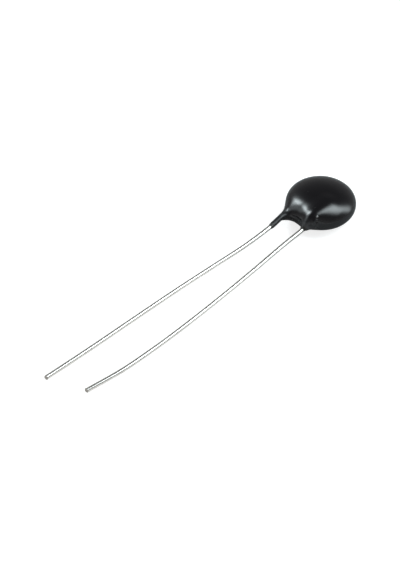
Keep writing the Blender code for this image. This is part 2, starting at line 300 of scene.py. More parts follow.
def sleeve_gap(points, lead):
    """Distance from the coat on a lead: it rises out of the lens and thins to a ragged edge."""
    along = nearest_along(points, lead)
    outward = points - lead.route(along)
    near_end = along - lead.coat_end + COAT_WANDER + LEAD_COAT_TAPER
    reach = along + np.where(near_end > 0, edge_wander(outward, lead), 0)
    turns = (RIDGE_START, RAMP_START, lead.coat_end - LEAD_COAT_TAPER, lead.coat_end)
    coat = np.interp(reach, turns, (0, LEAD_COAT, LEAD_COAT, -COAT_DIVE))
    return np.linalg.norm(outward, axis=1) - WIRE_RADIUS - coat


def web_gap(points):
    """Distance from the web: a flat sheet whose round lip curves out along both leads."""
    along, side, height = -points[:, 0], points[:, 1], points[:, 2] + WEB_DROP
    on_left = side > 0
    lead_side = np.where(on_left, LEFT.side_at(along), -RIGHT.side_at(along))
    climb = np.where(on_left, LEFT.web_climb, RIGHT.web_climb)
    across = np.clip(np.abs(side) / lead_side, 0, 1)
    slant = np.hypot(1, 2 * climb * across / lead_side)
    past_lip = (along - WEB_LIP - climb * across**2) / slant + WEB_THICKNESS / 2
    shoulder = np.where(on_left, LEFT.web_shoulder, RIGHT.web_shoulder)
    shoulder_share = np.clip((WEB_LIP - along) / (WEB_LIP - RAMP_START), 0, 1)
    past_side = np.abs(side) - lead_side - shoulder * shoulder_share
    past = [np.maximum(over, 0) for over in (past_lip, past_side, RAMP_START - along)]
    return np.linalg.norm([*past, height], axis=0) - WEB_THICKNESS / 2


def blended(first, second, width):
    """The nearer of two surfaces, filled in where they meet."""
    near = np.maximum(width - np.abs(first - second), 0) / width
    return np.minimum(first, second) - near**2 * width / 4


def skin_gap(points):
    """Distance from the outside of the coating."""
    sleeves = np.minimum(sleeve_gap(points, LEFT), sleeve_gap(points, RIGHT))
    from_axis = np.hypot(points[:, 0], points[:, 1])
    width = np.interp(from_axis, (CERAMIC_RADIUS, LENS_RADIUS), (RIDGE_BLEND, NECK_BLEND))
    body = blended(lens_gap(points), sleeves, width)
    return blended(body, web_gap(points), WEB_BLEND)


def settled(points, steps):
    """The points moved straight onto the outside of the coating, and the way out at each."""
    for _ in range(steps):
        gap = skin_gap(points)
        slope = np.column_stack(
            [(skin_gap(points + step) - gap) / SLOPE_STEP for step in np.eye(3) * SLOPE_STEP]
        )
        steep = np.maximum((slope**2).sum(axis=1), LEAST_SLOPE)
        points = points - slope * (gap / steep)[:, None]
    return points, slope / np.linalg.norm(slope, axis=1)[:, None]


# Meshes and pieces


def make_mesh(name, shape):
    """A smooth-shaded mesh of the bmesh, its faces turned outwards."""
    bmesh.ops.recalc_face_normals(shape, faces=shape.faces)
    mesh = bpy.data.meshes.new(name)
    shape.to_mesh(mesh)
    shape.free()
    mesh.shade_smooth()
    return mesh


def add_piece(name, mesh, slot, material, *nodes):
    """Link a piece that stands for these nodes of the part."""
    piece = bpy.data.objects.new(name, mesh)
    bpy.context.scene.collection.objects.link(piece)
    mesh.materials.append(material)
    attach(piece, "root")
    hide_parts(*nodes)
    return piece


def add_attribute(mesh, name, values):
    """Keep one number for each point of the mesh, for its material to read."""
    attribute = mesh.attributes.new(name, "FLOAT", "POINT")
    attribute.data.foreach_set("value", np.asarray(values, dtype=np.float32))


# Node trees


# Tarnish: how much finer its pits are than its clouds, and the clouds that turn dull. Grain: the
# scale of its clouds, as a share of that of its ripples
PIT_FINENESS = 7.0
DULL_CLOUDS = (0.38, 0.66)
GRAIN_CLOUD_SCALE = 0.3


def add_node(tree, kind, settings=None, **inputs):
    """Add a node. Inputs go by name or by place, as _0, and take a socket or a value."""
    node = tree.nodes.new(kind)
    for key, value in (settings or {}).items():
        setattr(node, key, value)
    for key, value in inputs.items():
        socket = node.inputs[int(key[1:])] if key[0] == "_" else node.inputs[key.replace("_", " ")]
        if isinstance(value, bpy.types.NodeSocket):
            tree.links.new(value, socket)
        else:
            socket.default_value = value
    return node


def node_group(name, inputs, outputs):
    """A new group: names and kinds of its inputs, with their defaults, and its outputs."""
    tree = bpy.data.node_groups.new(name, "ShaderNodeTree")
    for socket_name, kind, default in inputs:
        socket = tree.interface.new_socket(socket_name, in_out="INPUT", socket_type=kind)
        if default is not None:
            socket.default_value = default
    for socket_name in outputs:
        tree.interface.new_socket(socket_name, in_out="OUTPUT", socket_type="NodeSocketFloat")
    return tree, tree.nodes.new("NodeGroupInput"), tree.nodes.new("NodeGroupOutput")


def tarnish_group():
    """Cloudy dull patches with fine pits in them, on metal that has lain in the open."""
    if "Tarnish" in bpy.data.node_groups:
        return bpy.data.node_groups["Tarnish"]
    inputs = (("Vector", "NodeSocketVector", None), ("Scale", "NodeSocketFloat", 500.0))
    tree, given, out = node_group("Tarnish", inputs, ("Dullness", "Height"))
    vector, scale = given.outputs["Vector"], given.outputs["Scale"]
    clouds = add_node(
        tree, "ShaderNodeTexNoise", Vector=vector, Scale=scale, Detail=4.0, Roughness=0.6
    )
    finer = add_node(tree, "ShaderNodeMath", {"operation": "MULTIPLY"}, _0=scale, _1=PIT_FINENESS)
    pits = add_node(
        tree, "ShaderNodeTexNoise", Vector=vector, Scale=finer.outputs[0], Detail=2.0
    )
    dullness = add_node(
        tree,
        "ShaderNodeMapRange",
        {"interpolation_type": "SMOOTHSTEP"},
        Value=clouds.outputs[0],
        From_Min=DULL_CLOUDS[0],
        From_Max=DULL_CLOUDS[1],
    )
    height = add_node(
        tree, "ShaderNodeMath", {"operation": "ADD"}, _0=pits.outputs[0], _1=clouds.outputs[0]
    )
    tree.links.new(dullness.outputs[0], out.inputs["Dullness"])
    tree.links.new(height.outputs[0], out.inputs["Height"])
    return tree


def grain_group():
    """An uneven skin with sparse specks, as on fired, printed and dipped layers."""
    if "Grain" in bpy.data.node_groups:
        return bpy.data.node_groups["Grain"]
    inputs = (
        ("Vector", "NodeSocketVector", None),
        ("Scale", "NodeSocketFloat", 1000.0),
        ("Speck Size", "NodeSocketFloat", 0.05),
    )
    tree, given, out = node_group("Grain", inputs, ("Height", "Specks", "Clouds"))
    vector, scale = given.outputs["Vector"], given.outputs["Scale"]
    ripples = add_node(
        tree, "ShaderNodeTexNoise", Vector=vector, Scale=scale, Detail=3.0, Roughness=0.5
    )
    wider = add_node(
        tree, "ShaderNodeMath", {"operation": "MULTIPLY"}, _0=scale, _1=GRAIN_CLOUD_SCALE
    )
    clouds = add_node(
        tree, "ShaderNodeTexNoise", Vector=vector, Scale=wider.outputs[0], Detail=2.0
    )
    cells = add_node(tree, "ShaderNodeTexVoronoi", Vector=vector, Scale=scale)
    smaller = add_node(
        tree,
        "ShaderNodeMath",
        {"operation": "MULTIPLY"},
        _0=given.outputs["Speck Size"],
        _1=0.5,
    )
    specks = add_node(
        tree,
        "ShaderNodeMapRange",
        {"interpolation_type": "SMOOTHSTEP"},
        Value=cells.outputs["Distance"],
        From_Min=given.outputs["Speck Size"],
        From_Max=smaller.outputs[0],
    )
    tree.links.new(ripples.outputs[0], out.inputs["Height"])
    tree.links.new(specks.outputs[0], out.inputs["Specks"])
    tree.links.new(clouds.outputs[0], out.inputs["Clouds"])
    return tree


def new_material(name, metallic=0.0):
    """A material with its own tree, its shader and the coordinates of the object."""
    material = bpy.data.materials.new(name)
    material.use_nodes = True
    tree = material.node_tree
    shader = tree.nodes["Principled BSDF"]
    shader.inputs["Metallic"].default_value = metallic
    place = add_node(tree, "ShaderNodeTexCoord").outputs["Object"]
    return material, tree, shader, place


def use_group(tree, group, **inputs):
    """Place a shared group in a material's tree."""
    return add_node(tree, "ShaderNodeGroup", {"node_tree": group}, **inputs)


def mixed_colour(tree, share, first, second):
    """A colour between two others."""
    mix = add_node(tree, "ShaderNodeMix", {"data_type": "RGBA"}, _0=share)
    for socket, colour in ((mix.inputs[6], first), (mix.inputs[7], second)):
        if isinstance(colour, bpy.types.NodeSocket):
            tree.links.new(colour, socket)
        else:
            socket.default_value = (*colour, 1.0)
    return mix.outputs[2]


def spread(tree, value, low, high):
    """A mask from 0 to 1 turned into values from low to high."""
    return add_node(tree, "ShaderNodeMapRange", Value=value, To_Min=low, To_Max=high).outputs[0]


def bumped(tree, height, distance):
    """A normal over heights from 0 to this distance."""
    return add_node(tree, "ShaderNodeBump", Height=height, Distance=distance).outputs[0]


def finish_shader(tree, shader, **inputs):
    """Feed the shader's sockets."""
    for key, value in inputs.items():
        tree.links.new(value, shader.inputs[key.replace("_", " ")])


# Settings


class CoatingSettings(bpy.types.PropertyGroup):
    colour: FloatVectorProperty(
        name="Colour",
        description="Colour of the black coating",
        subtype="COLOR",
        default=(0.0034, 0.0030, 0.0044),
        min=0,
        max=1,
    )
    thin_colour: FloatVectorProperty(
        name="Thin colour",
        description="Colour of the coating where it thins out on a lead",
        subtype="COLOR",
        default=(0.030, 0.026, 0.022),
        min=0,
        max=1,
    )
    dull_colour: FloatVectorProperty(
        name="Dull colour",
        description="Colour of the dull patches of the coating on a lead",
        subtype="COLOR",
        default=(0.050, 0.050, 0.052),
        min=0,
        max=1,
    )
    roughness: FloatProperty(
        name="Roughness",
        description="Roughness of the coating where it is glossiest",
        subtype="FACTOR",
        default=0.2,
        min=0,
        max=1,
    )
    sleeve_roughness: FloatProperty(
        name="Sleeve roughness",
        description="How much rougher the coating is on the leads",
        subtype="FACTOR",
        default=0.34,
        min=0,
        max=1,
    )
    waves: FloatProperty(
        name="Waves",
        description="Height of the soft waves that the dip leaves",
        unit="LENGTH",
        default=0.000012,
        min=0,
        max=0.0001,
    )
    face_size: FloatProperty(
        name="Face size",
        description="Size of the faces that the coating is first made of",
        unit="LENGTH",
        default=0.0002,
        min=0.00015,
        max=0.0006,
    )


class LeadSettings(bpy.types.PropertyGroup):
    colour: FloatVectorProperty(
        name="Colour",
        description="Colour of the tinned wire",
        subtype="COLOR",
        default=(0.84, 0.815, 0.775),
        min=0,
        max=1,
    )
    cut_colour: FloatVectorProperty(
        name="Cut colour",
        description="Colour of the cut ends of the wire",
        subtype="COLOR",
        default=(0.50, 0.465, 0.43),
        min=0,
        max=1,
    )
    roughness: FloatProperty(
        name="Roughness",
        description="Roughness of the wire where it is brightest",
        subtype="FACTOR",
        default=0.2,
        min=0,
        max=1,
    )
    sides: IntProperty(
        name="Sides", description="Faces around the wire", default=32, min=12, max=64
    )
    dents: FloatProperty(
        name="Dents",
        description="Depth of the shallow dents along the wire",
        unit="LENGTH",
        default=0.000005,
        min=0,
        max=0.00003,
    )


class InnerSettings(bpy.types.PropertyGroup):
    ceramic_colour: FloatVectorProperty(
        name="Ceramic",
        description="Colour of the sintered ceramic",
        subtype="COLOR",
        default=(0.10, 0.10, 0.105),
        min=0,
        max=1,
    )
    silver_colour: FloatVectorProperty(
        name="Silver",
        description="Colour of the fired silver layers",
        subtype="COLOR",
        default=(0.80, 0.79, 0.76),
        min=0,
        max=1,
    )
    solder_colour: FloatVectorProperty(
        name="Solder",
        description="Colour of the solder mounds",
        subtype="COLOR",
        default=(0.62, 0.63, 0.65),
        min=0,
        max=1,
    )


class StudioSettings(bpy.types.PropertyGroup):
    floor_colour: FloatVectorProperty(
        name="Floor",
        description="Colour of the paper on the floor",
        subtype="COLOR",
        default=(0.50, 0.50, 0.50),
        min=0,
        max=1,
    )
    floor_glow: FloatProperty(
        name="Floor glow",
        description="Light that the camera sees from the floor besides the paper's own",
        default=0.8,
        min=0,
        max=1,
    )
    # This glow is held back at the disc, which leaves painted shade in its reflections.
    mirrored_glow: FloatProperty(
        name="Mirrored glow",
        description="The same as seen in the gloss of the pieces, away from the disc",
        default=0.45,
        min=0,
        max=1,
    )
    lamp_colour: FloatVectorProperty(
        name="Lamp colour",
        description="Tint of the lamps",
        subtype="COLOR",
        default=(0.87, 0.97, 1.0),
        min=0,
        max=1,
    )
    lamp_distance: FloatProperty(
        name="Lamp distance",
        description="How far the lamps stand from the disc",
        unit="LENGTH",
        default=1.2,
        min=0.5,
        max=3,
    )
    dome_radius: FloatProperty(
        name="Dome radius",
        description="Radius of the studio's dome and floor",
        unit="LENGTH",
        default=1.6,
        min=1,
        max=5,
    )


# Coating


def rough_coating():
    """A ball flattened to the lens, beads along both leads and a slab between them."""
    rough = bmesh.new()
    flat = Matrix.Diagonal((LENS_RADIUS, LENS_RADIUS, LENS_HEIGHT, 1))
    bmesh.ops.create_icosphere(rough, subdivisions=4, radius=1, matrix=flat)
    for lead in (LEFT, RIGHT):
        for point in lead.route(np.arange(RAMP_START, lead.coat_end, BEAD_STEP)):
            bmesh.ops.create_icosphere(
                rough,
                subdivisions=2,
                radius=WIRE_RADIUS + LEAD_COAT,
                matrix=Matrix.Translation(point),
            )
    size = (WEB_LIP - RAMP_START, LEFT.disc_side + RIGHT.disc_side, WEB_THICKNESS)
    middle = (-(WEB_LIP + RAMP_START) / 2, (LEFT.disc_side - RIGHT.disc_side) / 2, -WEB_DROP)
    slab = Matrix.Translation(middle) @ Matrix.Diagonal((*size, 1))
    bmesh.ops.create_cube(rough, size=1, matrix=slab)
    return make_mesh("rough_coating", rough)


def even_skin(mesh, face_size):
    """One closed skin of faces of even size around everything in the mesh."""
    holder = bpy.data.objects.new("rough_coating", mesh)
    bpy.context.scene.collection.objects.link(holder)
    remesh = holder.modifiers.new("even_skin", "REMESH")
    remesh.mode = "VOXEL"
    remesh.voxel_size = face_size
    graph = bpy.context.evaluated_depsgraph_get()
    skin = bpy.data.meshes.new_from_object(holder.evaluated_get(graph))
    bpy.data.objects.remove(holder, do_unlink=True)
    return skin


def ease(shape, passes):
    """Smooth the points and settle them on the outside of the coating, in turns."""
    for _ in range(passes):
        bmesh.ops.smooth_vert(
            shape,
            verts=shape.verts,
            factor=0.5,
            use_axis_x=True,
            use_axis_y=True,
            use_axis_z=True,
        )
        points, _ = settled(np.array([vert.co for vert in shape.verts]), 2)
        for vert, point in zip(shape.verts, points):
            vert.co = point


def ring_height(away, radius, width):
    """1 on a ring of this radius, falling to 0 at this distance from it."""
    return np.exp(-(((away - radius) / width) ** 2))


def surface_detail(points, waves):
    """How far the skin stands out or in: soft waves, the burst bubble and the grain."""
    ripples = np.array([noise.noise(Vector(point) * SKIN_WAVES) for point in points])
    detail = ripples * waves - waves
    from_bubble = np.linalg.norm(points - BUBBLE_PLACE, axis=1)
    detail += BUBBLE_HEIGHT * ring_height(from_bubble, BUBBLE_RADIUS, BUBBLE_RIM)
    detail -= BUBBLE_HEIGHT / 2 * ring_height(from_bubble, 0, BUBBLE_RADIUS / 2)
    return detail + GRAIN_HEIGHT * grain_share(points)


def coat_thinness(points):
    """1 where the coat on a lead ends, falling to 0 where it is thick."""
    thinness = np.zeros(len(points))
    for lead in (LEFT, RIGHT):
        along = nearest_along(points, lead)
        outward = points - lead.route(along)
        on_lead = np.linalg.norm(outward, axis=1) < WIRE_RADIUS + THIN_COATS * LEAD_COAT
        reach = along + edge_wander(outward, lead)
        start = lead.coat_end - THINNING_TAPERS * LEAD_COAT_TAPER
        ended = np.clip((reach - start) / (lead.coat_end - start), 0, 1)
        thinness = np.maximum(thinness, np.where(on_lead, ended, 0))
    return thinness


def sleeve_dullness(points):
    """0 on the disc, rising on the leads, to 1 on the right one, whose coat came out duller."""
    from_axis = np.hypot(points[:, 0], points[:, 1])
    past_lens = np.clip((from_axis - LENS_RADIUS) / DULLING_RUN, 0, 1)
    return past_lens * np.where(points[:, 1] < 0, RIGHT_DULLNESS, LEFT_DULLNESS)


def grain_share(points):
    """1 on the grain of dust, falling to 0 around it."""
    from_grain = np.linalg.norm(points - GRAIN_PLACE, axis=1)
    return ring_height(from_grain, 0, GRAIN_RADIUS)


def coating_mesh(settings):
    """The coating's skin: remeshed and eased, then split finer and given its detail."""
    mesh = rough_coating()
    for _ in range(REMESH_TURNS):
        mesh = even_skin(mesh, settings.face_size)
        shape = bmesh.new()
        shape.from_mesh(mesh)
        ease(shape, REMESH_EASES)
        mesh = make_mesh("coating_skin", shape)
    shape = bmesh.new()
    shape.from_mesh(mesh)
    bmesh.ops.subdivide_edges(shape, edges=shape.edges, cuts=1, use_grid_fill=True)
    ease(shape, FINE_EASES)
    points, outward = settled(np.array([vert.co for vert in shape.verts]), 1)
    thinness = coat_thinness(points)
    detail = surface_detail(points, settings.waves)
    for vert, place in zip(shape.verts, points + outward * detail[:, None]):
        vert.co = place
    mesh = make_mesh("coating_skin", shape)
    add_attribute(mesh, "thinness", thinness)
    add_attribute(mesh, "dullness", sleeve_dullness(points))
    # The grain's share also places its painted highlight in the colour.
    add_attribute(mesh, "dust_and_highlight", grain_share(points))
    mesh.transform(DISC_FRAME)
    return mesh


# Finish of the coating: dust specks, the grain of dust, whose pale colour is a painted highlight
# on it, how far the roughness runs from its setting, how much of the thin colour shows at the
# edge of the coat on a lead, the depth of the orange peel and the resin's index of refraction
SPECK_COLOUR = (0.10, 0.10, 0.10)
DUST_AND_HIGHLIGHT_COLOUR = (0.30, 0.30, 0.29)
COATING_ROUGHNESS_RANGE = (-0.03, 0.07)
THIN_COAT_SHARE = 0.8
PEEL_DEPTH = 0.000006
COATING_IOR = 1.53


def coating_material(settings):
    """Glossy black resin, faintly peeled and dusty, a painted highlight on its grain: duller on
    the leads, browner where thin.
    """
    material, tree, shader, place = new_material("black_coat")
    grain = use_group(tree, grain_group(), Vector=place, Scale=900.0, Speck_Size=0.035)
    thin = add_node(tree, "ShaderNodeAttribute", {"attribute_name": "thinness"})
    thin_share = spread(tree, thin.outputs["Fac"], 0.0, THIN_COAT_SHARE)
    dull = add_node(tree, "ShaderNodeAttribute", {"attribute_name": "dullness"}).outputs["Fac"]
    patches = use_group(tree, tarnish_group(), Vector=place, Scale=1500.0)
    mottle = add_node(
        tree, "ShaderNodeMath", {"operation": "MULTIPLY"}, _0=dull, _1=patches.outputs["Dullness"]
    )
    greyed = mixed_colour(tree, mottle.outputs[0], settings.colour, settings.dull_colour)
    colour = mixed_colour(tree, thin_share, greyed, settings.thin_colour)
    specked = mixed_colour(tree, grain.outputs["Specks"], colour, SPECK_COLOUR)
    dust_and_highlight = add_node(tree, "ShaderNodeAttribute", {"attribute_name": "dust_and_highlight"}).outputs["Fac"]
    # The grain is painted pale: dust, and a painted highlight on it.
    dusty_and_highlit = mixed_colour(tree, dust_and_highlight, specked, DUST_AND_HIGHLIGHT_COLOUR)
    low, high = (settings.roughness + change for change in COATING_ROUGHNESS_RANGE)
    smooth = spread(tree, grain.outputs["Clouds"], low, high)
    roughness = add_node(
        tree,
        "ShaderNodeMath",
        {"operation": "MULTIPLY_ADD"},
        _0=dull,
        _1=settings.sleeve_roughness,
        _2=smooth,
    )
    finish_shader(
        tree,
        shader,
        Base_Color=dusty_and_highlit,
        Roughness=roughness.outputs[0],
        Normal=bumped(tree, grain.outputs["Height"], PEEL_DEPTH),
    )
    shader.inputs["IOR"].default_value = COATING_IOR
    return material


class THERMISTOR_OT_coating(bpy.types.Operator):
    """Add the dipped coating with its sleeves on both leads and its web between them"""

    bl_idname = "thermistor.coating"
    bl_label = "Coating"

    def execute(self, context):
        settings = context.scene.thermistor_coating
        mesh = coating_mesh(settings)
        add_piece("coating_skin", mesh, "black_coat", coating_material(settings), "coating")
        return {"FINISHED"}


# Leads


def lead_stations(lead):
    """Distances along at which the wire takes a ring."""
    count = round((lead.reach - lead.inner_end) / WIRE_STEP)
    return np.linspace(lead.inner_end, lead.reach, count + 1)


def wire_mesh(lead, settings):
    """A drawn wire with shallow dents, its end cut at a slant as cutters leave it."""
    stations = lead_stations(lead)
    middles = lead.route(stations)
    headings = lead.heading(stations)
    turns = np.linspace(0, math.tau, settings.sides, endpoint=False)
    shape = bmesh.new()
    along_layer = shape.verts.layers.float_vector.new("straightened")
    cut_layer = shape.verts.layers.float.new("cut")

    def add_ring(middle, heading, radius, along, cut, slant=0.0):
        run = Vector(heading).normalized()
        across = run.cross((0, 0, 1)).normalized()
        upward = across.cross(run)
        ring = []
        for turn in turns:
            out = across * math.cos(turn) + upward * math.sin(turn)
            shifted = math.sin(turn) + lead.side * DENT_SHIFT
            dent = noise.noise(Vector((along * WIRE_DENTS, math.cos(turn), shifted)))
            size = radius + settings.dents * (dent - 1)
            sink = run * slant * (1 + math.cos(turn - CUT_SIDE) * radius / WIRE_RADIUS) / 2
            vert = shape.verts.new(Vector(middle) + out * size - sink)
            vert[along_layer] = (along, radius * math.cos(turn), radius * math.sin(turn))
            vert[cut_layer] = cut
            ring.append(vert)
        return ring

    rings = [
        add_ring(middle, heading, WIRE_RADIUS, along, 0.0)
        for middle, heading, along in zip(middles[:-1], headings[:-1], stations[:-1])
    ]
    last, heading, along = middles[-1], headings[-1], stations[-1]
    run = np.array(Vector(heading).normalized())
    worn = last - run * CUT_EDGE
    rings.append(add_ring(worn, heading, WIRE_RADIUS, along, 0.0, CUT_SLANT))
    for share in CUT_RINGS:
        rings.append(add_ring(last, heading, WIRE_RADIUS * share, along, 1.0, CUT_SLANT))
    for first, second in zip(rings, rings[1:]):
        for k in range(len(first)):
            after = (k + 1) % len(first)
            shape.faces.new((first[k], first[after], second[after], second[k]))
    shape.faces.new(rings[0])
    shape.faces.new(rings[-1])
    mesh = make_mesh(lead.name + "_wire", shape)
    mesh.set_sharp_from_angle(angle=SHARP_ANGLE)
    mesh.transform(DISC_FRAME)
    return mesh


# Finish of the wire: how far the draw marks are stretched along it, how dull the patches are and
# how much of the colour they keep, what the marks and the cuts add to the roughness, and the
# depth of the marks
MARK_STRETCH = 0.04
PATCH_SHARE = 0.35
PATCH_COLOUR_SHARE = 0.82
MARK_ROUGHNESS = 0.06
CUT_ROUGHNESS = 0.4
MARK_DEPTH = 0.000001


def wire_material(settings):
    """Bright tinned wire: draw marks along it, dull patches, and grey copper at the cuts."""
    material, tree, shader, place = new_material("tinned_wire", metallic=1.0)
    straight = add_node(tree, "ShaderNodeAttribute", {"attribute_name": "straightened"})
    stretched = add_node(
        tree,
        "ShaderNodeMapping",
        Vector=straight.outputs["Vector"],
        Scale=(MARK_STRETCH, 1.0, 1.0),
    )
    marks = use_group(
        tree, tarnish_group(), Vector=stretched.outputs["Vector"], Scale=5000.0
    )
    patches = use_group(tree, tarnish_group(), Vector=place, Scale=420.0)
    cut = add_node(tree, "ShaderNodeAttribute", {"attribute_name": "cut"}).outputs["Fac"]
    dull = spread(tree, patches.outputs["Dullness"], 0.0, PATCH_SHARE)
    dull_colour = [PATCH_COLOUR_SHARE * part for part in settings.colour]
    dulled = mixed_colour(tree, dull, settings.colour, dull_colour)
    colour = mixed_colour(tree, cut, dulled, settings.cut_colour)
    low = settings.roughness
    smooth = spread(tree, marks.outputs["Dullness"], low, low + MARK_ROUGHNESS)
    roughness = add_node(
        tree,
        "ShaderNodeMath",
        {"operation": "MULTIPLY_ADD"},
        _0=cut,
        _1=CUT_ROUGHNESS,
        _2=smooth,
    )
    finish_shader(
        tree,
        shader,
        Base_Color=colour,
        Roughness=roughness.outputs[0],
        Normal=bumped(tree, marks.outputs["Height"], MARK_DEPTH),
    )
    return material


class THERMISTOR_OT_leads(bpy.types.Operator):
    """Add both leads, drawn and tinned, with their cut ends"""

    bl_idname = "thermistor.leads"
    bl_label = "Leads"

    def execute(self, context):
        settings = context.scene.thermistor_leads
        material = wire_material(settings)
        for lead in (LEFT, RIGHT):
            mesh = wire_mesh(lead, settings)
            add_piece(mesh.name, mesh, "tinned_wire", material, lead.name)
        return {"FINISHED"}


# Ceramic, silver and solder inside


# Share of the ceramic's colour in a pore and of the solder's where it is frosted, the colour of
# tarnished silver and its share in the dullest patches, and the roughness of each, from where it
# is smoothest to where it is roughest, with the depth of its grain
PORE_COLOUR_SHARE = 0.5
FROSTED_COLOUR_SHARE = 0.8
TARNISH_COLOUR = (0.70, 0.64, 0.52)
TARNISH_SHARE = 0.5
CERAMIC_ROUGHNESS = (0.65, 0.85)
SILVER_ROUGHNESS = (0.38, 0.55)
SOLDER_ROUGHNESS = (0.25, 0.5)
CERAMIC_GRAIN_DEPTH = 0.00001
SILVER_GRAIN_DEPTH = 0.000005
SOLDER_GRAIN_DEPTH = 0.00001


def ceramic_material(settings):
    """Sintered ceramic: matt, with a fine grain and a few darker pores."""
    material, tree, shader, place = new_material("ceramic")
    grain = use_group(tree, grain_group(), Vector=place, Scale=6000.0, Speck_Size=0.2)
    pore = [PORE_COLOUR_SHARE * part for part in settings.ceramic_colour]
    finish_shader(
        tree,
        shader,
        Base_Color=mixed_colour(tree, grain.outputs["Specks"], settings.ceramic_colour, pore),
        Roughness=spread(tree, grain.outputs["Clouds"], *CERAMIC_ROUGHNESS),
        Normal=bumped(tree, grain.outputs["Height"], CERAMIC_GRAIN_DEPTH),
    )
    return material


def silver_material(settings):
    """Fired silver paste: satin, with the grain of the paste and faint yellow tarnish."""
    material, tree, shader, place = new_material("silver", metallic=1.0)
    grain = use_group(tree, grain_group(), Vector=place, Scale=9000.0, Speck_Size=0.12)
    tarnish = use_group(tree, tarnish_group(), Vector=place, Scale=700.0)
    share = spread(tree, tarnish.outputs["Dullness"], 0.0, TARNISH_SHARE)
    finish_shader(
        tree,
        shader,
        Base_Color=mixed_colour(tree, share, settings.silver_colour, TARNISH_COLOUR),
        Roughness=spread(tree, tarnish.outputs["Dullness"], *SILVER_ROUGHNESS),
        Normal=bumped(tree, grain.outputs["Height"], SILVER_GRAIN_DEPTH),
    )
    return material


def solder_material(settings):
    """Tin solder: bright with dull frosted patches."""
    material, tree, shader, place = new_material("solder", metallic=1.0)
    tarnish = use_group(tree, tarnish_group(), Vector=place, Scale=1400.0)
    frosted = [FROSTED_COLOUR_SHARE * part for part in settings.solder_colour]
    share = tarnish.outputs["Dullness"]
    finish_shader(
        tree,
        shader,
        Base_Color=mixed_colour(tree, share, settings.solder_colour, frosted),
        Roughness=spread(tree, share, *SOLDER_ROUGHNESS),
        Normal=bumped(tree, tarnish.outputs["Height"], SOLDER_GRAIN_DEPTH),
    )
    return material


class THERMISTOR_OT_inner(bpy.types.Operator):
    """Finish the ceramic disc, its silver layers and the solder mounds inside the coating"""

    bl_idname = "thermistor.inner"
    bl_label = "Inner pieces"

    def execute(self, context):
        settings = context.scene.thermistor_inner
        silver = silver_material(settings)
        solder = solder_material(settings)
        finishes = {
            "ceramic_disc": ceramic_material(settings),
            "electrode_top": silver,
            "electrode_bottom": silver,
            "solder_top": solder,
            "solder_bottom": solder,
        }
        for node, material in finishes.items():
            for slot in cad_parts[node].material_slots:
                slot.material = material
        return {"FINISHED"}


# Studio


# The picture's direction across the floor, and the camera over it
CAMERA_HEADING = math.radians(-43.12)
CAMERA_TILT = math.radians(44)
CAMERA_ACROSS = -0.021648
CAMERA_BACK = -0.135294
CAMERA_HEIGHT = 0.12143
CAMERA_LENS = 63.158
CAMERA_SHIFT = (0.0, 0.00205)
CAMERA_RANGE = (0.01, 20)

# Lamps: degrees round from straight ahead of the camera and up, half their width and height as
# seen from the disc, how many times as bright as white paper their middle looks, and the share
# of the lamp, in from its edges, over which that fades
LAMPS = {
    "lamp_left": (-52, 43, 10, 20, 15.0, 1.0),
    "lamp_right": (99, 60, 21, 17, 6.2, 1.0),
    "lamp_right_low": (85, 38, 16, 40, 4.8, 1.0),
    "lamp_side": (-76, 40, 18, 16, 1.3, 0.8),
}

# Power of a lamp for each square metre of it and each such level of brightness
LAMP_POWER = 4

# The dome, as bright as this at these heights over the horizon, as the sine of the angle
DOME_LEVELS = ((0.0, 0.45), (0.17, 0.38), (0.4, 0.27), (0.7, 0.13), (1.0, 0.13))

# Sides of the floor and the dome, rings of the dome, and the height under which it is cut off
FLOOR_SIDES = 96
DOME_SIDES = 64
DOME_RINGS = 32
DOME_CUT = -0.001

# The paper's glow in the gloss of the pieces rises over this stretch of the leads. At the disc and
# on its far side it is held back, as painted shade in the reflections.
PAINTED_SHADE_FADE_START = 0.006
PAINTED_SHADE_FADE_END = 0.026


def toward(azimuth, elevation):
    """The direction this far round from straight ahead of the camera, and this far up."""
    ahead = math.pi / 2 + CAMERA_HEADING - math.radians(azimuth)
    up = math.radians(elevation)
    return Vector((math.cos(ahead) * math.cos(up), math.sin(ahead) * math.cos(up), math.sin(up)))


def add_camera():
    """The camera at the picture's angle."""
    data = bpy.data.cameras.new("picture_camera")
    data.lens = CAMERA_LENS
    data.sensor_width = 36
    data.sensor_fit = "AUTO"
    data.shift_x, data.shift_y = CAMERA_SHIFT
    data.clip_start, data.clip_end = CAMERA_RANGE
    camera = bpy.data.objects.new("picture_camera", data)
    bpy.context.scene.collection.objects.link(camera)
    turn = Matrix.Rotation(CAMERA_HEADING, 3, "Z")
    place = turn @ Vector((CAMERA_ACROSS, CAMERA_BACK, 0))
    camera.location = (DISC_X + place.x, place.y, CAMERA_HEIGHT)
    camera.rotation_euler = Euler((CAMERA_TILT, 0, CAMERA_HEADING))
    bpy.context.scene.camera = camera


